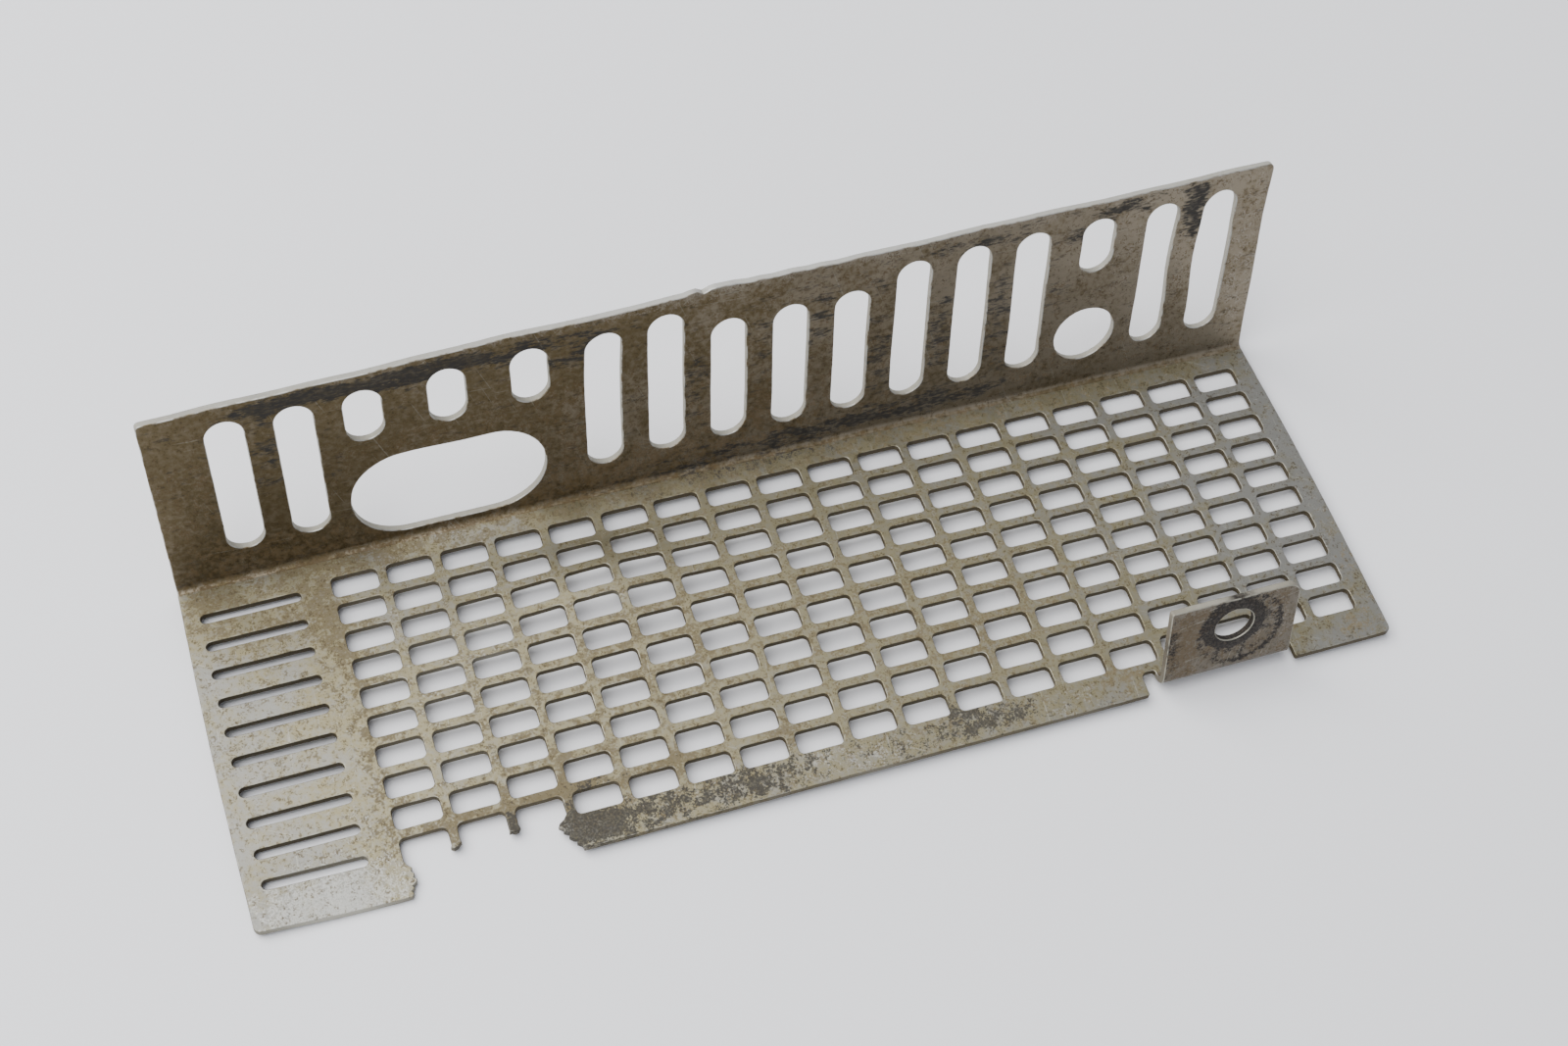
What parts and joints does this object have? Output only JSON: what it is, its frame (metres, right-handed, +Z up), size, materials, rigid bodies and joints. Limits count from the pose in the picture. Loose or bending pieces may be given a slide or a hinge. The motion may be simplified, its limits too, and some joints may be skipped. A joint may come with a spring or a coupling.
{
  "type": "radiator guard grille",
  "caption": "Folded sheet-aluminium radiator guard: flat rectangular grille, slotted side flange leaning outward and a drilled mounting tab; front rail torn near the left end.",
  "frame": {"origin": "middle of the overall box in X and Y, on the underside of the flat grille panel (Z = 0)", "axes": "+X along the guard towards the mounting tab's end, +Y from the torn front rail to the flange, +Z up from the panel's underside"},
  "size_m": [0.2504, 0.0942, 0.0518],
  "materials": {
    "panel_aluminium": "mill-finish sheet, dulled and stained brown by use",
    "flange_aluminium": "mill-finish sheet, darkened by oily grime, bright cut edges",
    "tab_aluminium": "mill-finish sheet with a dark worn ring around the hole"
  },
  "bodies": {
    "root": {"grille_panel": "panel_aluminium", "flange_bend": "flange_aluminium", "side_flange": "flange_aluminium", "tab_bend": "tab_aluminium", "mounting_tab": "tab_aluminium"}
  },
  "joints": []
}
